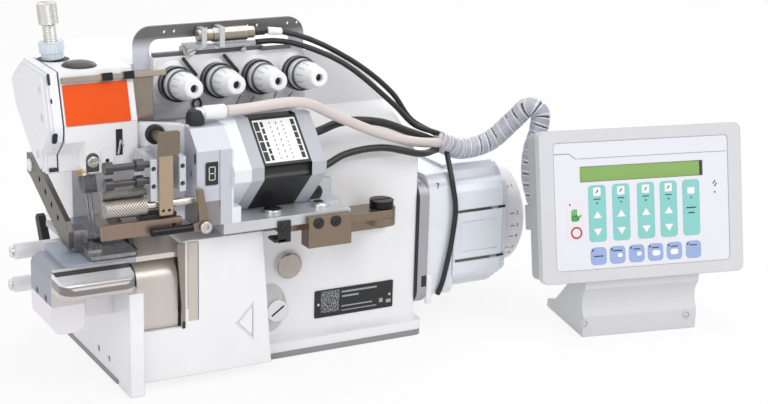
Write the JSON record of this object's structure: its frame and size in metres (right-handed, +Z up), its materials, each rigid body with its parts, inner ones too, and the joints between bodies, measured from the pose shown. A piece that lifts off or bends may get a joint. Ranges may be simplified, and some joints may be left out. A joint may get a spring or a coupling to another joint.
{
  "type": "overlock sewing machine",
  "caption": "Overlock sewing machine with head, bed, tension knobs, a swing-out metering feeder, a direct servo drive with handwheel and a separate operator panel.",
  "frame": {"origin": "centre of the base's underside, on the standing surface", "axes": "+Z up, +X to the operator's right along the bed, operator on the -Y side"},
  "size_m": [0.5819, 0.2587, 0.2825],
  "materials": {
    "casting": "smooth warm white enamel",
    "pan": "satin grey",
    "badge": "satin orange",
    "sheet": "brushed grey sheet",
    "nickel": "warm nickel plate",
    "steel": "ground steel",
    "chrome": "polished",
    "dark_steel": "blackened",
    "aluminium": "machined",
    "housing": "cool silver grey",
    "knob": "moulded white",
    "black_plate": "bare black plate",
    "glass": "dark clear lens",
    "guard": "beige",
    "brass": "turned",
    "rubber": "matt black",
    "motor": "black laminations with silver caps",
    "servo": "cool white enamel",
    "wheel": "pearl grey",
    "panel": "fine textured light grey",
    "wrap": "pale spiral wrap",
    "sleeve": "white sleeve",
    "cable": "black cable jacket"
  },
  "bodies": {
    "frame": {"oil_pan": "pan", "machine_body": "casting", "top_cover": "casting", "end_cover": "casting", "front_badge": "badge", "oil_window": "glass", "thread_guide_bar": "nickel", "tension_panel": "casting", "carrying_handle": "sheet", "tension_posts": "steel", "thread_sensor": "nickel", "name_plate": "black_plate", "oil_sight_glass": "glass", "needle_plate": "steel", "cloth_plate": "steel", "bed_block": "housing", "front_guard": "chrome", "support_pins": "knob", "chip_guard": "guard", "needle_bush": "brass", "swing_bracket": "nickel", "servo_flange": "aluminium", "servo_housing": "servo", "panel_case": "panel", "panel_front": "panel", "panel_stand": "panel", "wrapped_bundle": "wrap", "sleeve_cable": "sleeve", "motor_cable": "cable", "signal_cable": "cable", "sensor_cable_1": "cable", "sensor_cable_2": "cable", "servo_cable": "cable"},
    "cover": {"front_cover": "casting"},
    "feed": {"feed_dog": "steel"},
    "lower_loop": {"lower_looper": "steel"},
    "upper_loop": {"upper_looper": "steel"},
    "knife": {"upper_knife": "dark_steel"},
    "needle": {"needle_bar": "steel", "needle_clamp": "dark_steel"},
    "presser": {"presser_arm": "dark_steel", "presser_foot": "steel"},
    "pressure": {"pressure_screw": "steel"},
    "nut": {"lock_nut": "knob"},
    "knob_1": {"tension_knob_1": "knob"},
    "knob_2": {"tension_knob_2": "knob"},
    "knob_3": {"tension_knob_3": "knob"},
    "knob_4": {"tension_knob_4": "knob"},
    "rear": {"rear_lever": "rubber"},
    "feeder": {"swing_arm": "nickel", "feeder_deck": "aluminium", "feeder_housing": "housing", "stepper_motor": "motor", "feeder_blocks": "aluminium", "spring_plate": "nickel", "tape_guide": "nickel"},
    "roller": {"feed_roller": "steel"},
    "nip": {"nip_roller": "dark_steel"},
    "nip_arm": {"nip_lever": "nickel"},
    "drive": {"handwheel": "wheel"}
  },
  "joints": [
    {"name": "front_cover_hinge", "type": "hinge", "parent": "frame", "child": "cover", "pos_m": [-0.066, -0.092, 0.011], "axis": [1, 0, 0], "range_deg": [0, 80]},
    {"name": "feed_slide", "type": "slide", "parent": "frame", "child": "feed", "axis": [0, 1, 0], "range_m": [-0.0018, 0.0018]},
    {"name": "lower_looper_rock", "type": "hinge", "parent": "frame", "child": "lower_loop", "pos_m": [-0.107, -0.04, 0.04], "axis": [0, 1, 0], "range_deg": [-8, 8]},
    {"name": "upper_looper_rock", "type": "hinge", "parent": "frame", "child": "upper_loop", "pos_m": [-0.069, -0.04, 0.052], "axis": [0, 1, 0], "range_deg": [-4, 4]},
    {"name": "upper_knife_rock", "type": "hinge", "parent": "frame", "child": "knife", "pos_m": [-0.1, -0.027, 0.118], "axis": [1, 0, 0], "range_deg": [-4, 4]},
    {"name": "needle_bar_slide", "type": "slide", "parent": "frame", "child": "needle", "axis": [0, -0.309, -0.9511], "range_m": [0, 0.024]},
    {"name": "presser_lift", "type": "hinge", "parent": "frame", "child": "presser", "pos_m": [-0.161, 0.017, 0.15], "axis": [-1, 0, 0], "range_deg": [0, 5]},
    {"name": "pressure_screw_turn", "type": "hinge", "parent": "frame", "child": "pressure", "pos_m": [-0.15742, -0.023, 0.25991], "axis": [-0.0958, 0, 0.9954], "range_deg": [-720, 720]},
    {"name": "lock_nut_turn", "type": "hinge", "parent": "frame", "child": "nut", "pos_m": [-0.15627, -0.023, 0.24796], "axis": [-0.0958, 0, 0.9954], "range_deg": [-360, 360]},
    {"name": "tension_knob_1_turn", "type": "hinge", "parent": "frame", "child": "knob_1", "pos_m": [-0.066, -0.036, 0.217], "axis": [0, -0.9945, 0.1045], "range_deg": [-540, 540]},
    {"name": "tension_knob_2_turn", "type": "hinge", "parent": "frame", "child": "knob_2", "pos_m": [-0.0318, -0.036, 0.217], "axis": [0, -0.9945, 0.1045], "range_deg": [-540, 540]},
    {"name": "tension_knob_3_turn", "type": "hinge", "parent": "frame", "child": "knob_3", "pos_m": [0.0024, -0.036, 0.217], "axis": [0, -0.9945, 0.1045], "range_deg": [-540, 540]},
    {"name": "tension_knob_4_turn", "type": "hinge", "parent": "frame", "child": "knob_4", "pos_m": [0.0366, -0.036, 0.217], "axis": [0, -0.9945, 0.1045], "range_deg": [-540, 540]},
    {"name": "rear_lever_swing", "type": "hinge", "parent": "frame", "child": "rear", "pos_m": [-0.15, 0.024, 0.078], "axis": [1, 0, 0], "range_deg": [-15, 15]},
    {"name": "feeder_swing", "type": "hinge", "parent": "frame", "child": "feeder", "pos_m": [0.082, -0.097, 0.115], "axis": [0, 0, 1], "range_deg": [0, 60]},
    {"name": "feed_roller_spin", "type": "hinge", "parent": "feeder", "child": "roller", "pos_m": [-0.13, -0.109, 0.147], "axis": [1, 0, 0], "continuous": true},
    {"name": "nip_roller_spin", "type": "hinge", "parent": "feeder", "child": "nip", "pos_m": [-0.13, -0.103, 0.1561], "axis": [1, 0, 0], "continuous": true},
    {"name": "nip_lever_press", "type": "hinge", "parent": "feeder", "child": "nip_arm", "pos_m": [-0.076, -0.1175, 0.129], "axis": [0, 1, 0], "range_deg": [-18, 0], "stiffness_Nm_per_rad": 0.15, "springref_deg": 17.19},
    {"name": "handwheel_turn", "type": "hinge", "parent": "frame", "child": "drive", "pos_m": [0.212, -0.012, 0.074], "axis": [1, 0, 0], "continuous": true}
  ],
  "couplings": [
    {"joint": "nip_roller_spin", "follows": "feed_roller_spin", "ratio": -1.5}
  ]
}
